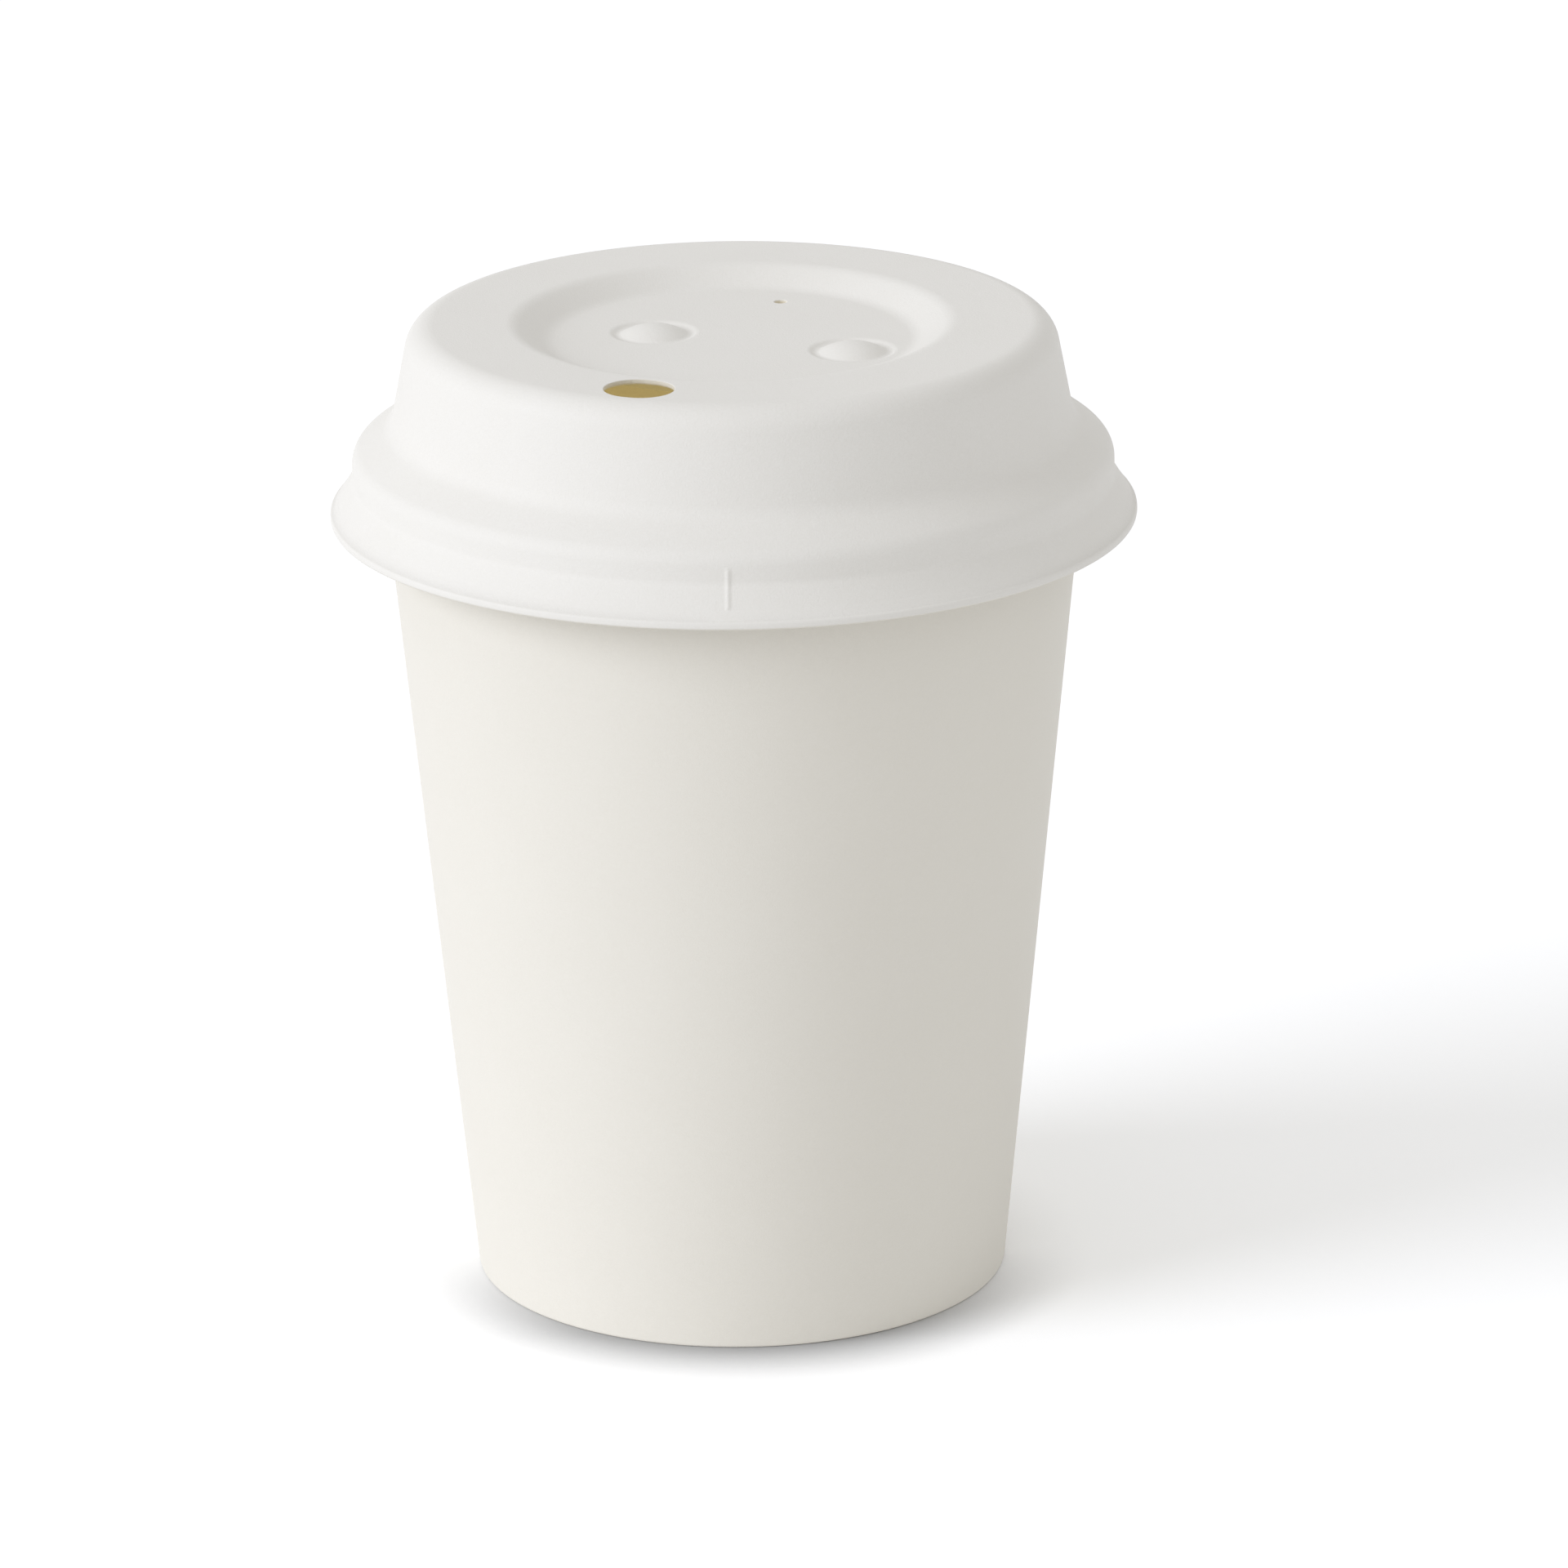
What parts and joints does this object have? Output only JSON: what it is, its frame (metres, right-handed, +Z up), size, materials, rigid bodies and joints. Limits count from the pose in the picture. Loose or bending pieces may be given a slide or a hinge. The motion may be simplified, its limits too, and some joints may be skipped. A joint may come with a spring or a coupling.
{
  "type": "paper coffee cup",
  "caption": "Small white take-away paper cup with a rolled rim and folded foot, closed by a pale moulded-fibre sip lid that lifts off.",
  "frame": {"origin": "centre of the foot's resting plane, on the cup's axis", "axes": "+Z up along the cup's axis, -Y towards the sip hole, side lap at +Y"},
  "size_m": [0.0868, 0.0868, 0.1067],
  "materials": {
    "cup_board": "uncoated matt board outside, thin satin lining inside",
    "lid_fibre": "matt moulded plant fibre"
  },
  "bodies": {
    "cup": {"cup_wall": "cup_board", "cup_bottom": "cup_board"},
    "lid": {"lid": "lid_fibre"}
  },
  "joints": [
    {"name": "lid_lift", "type": "slide", "parent": "cup", "child": "lid", "axis": [0, 0, 1], "range_m": [0, 0.03]}
  ]
}
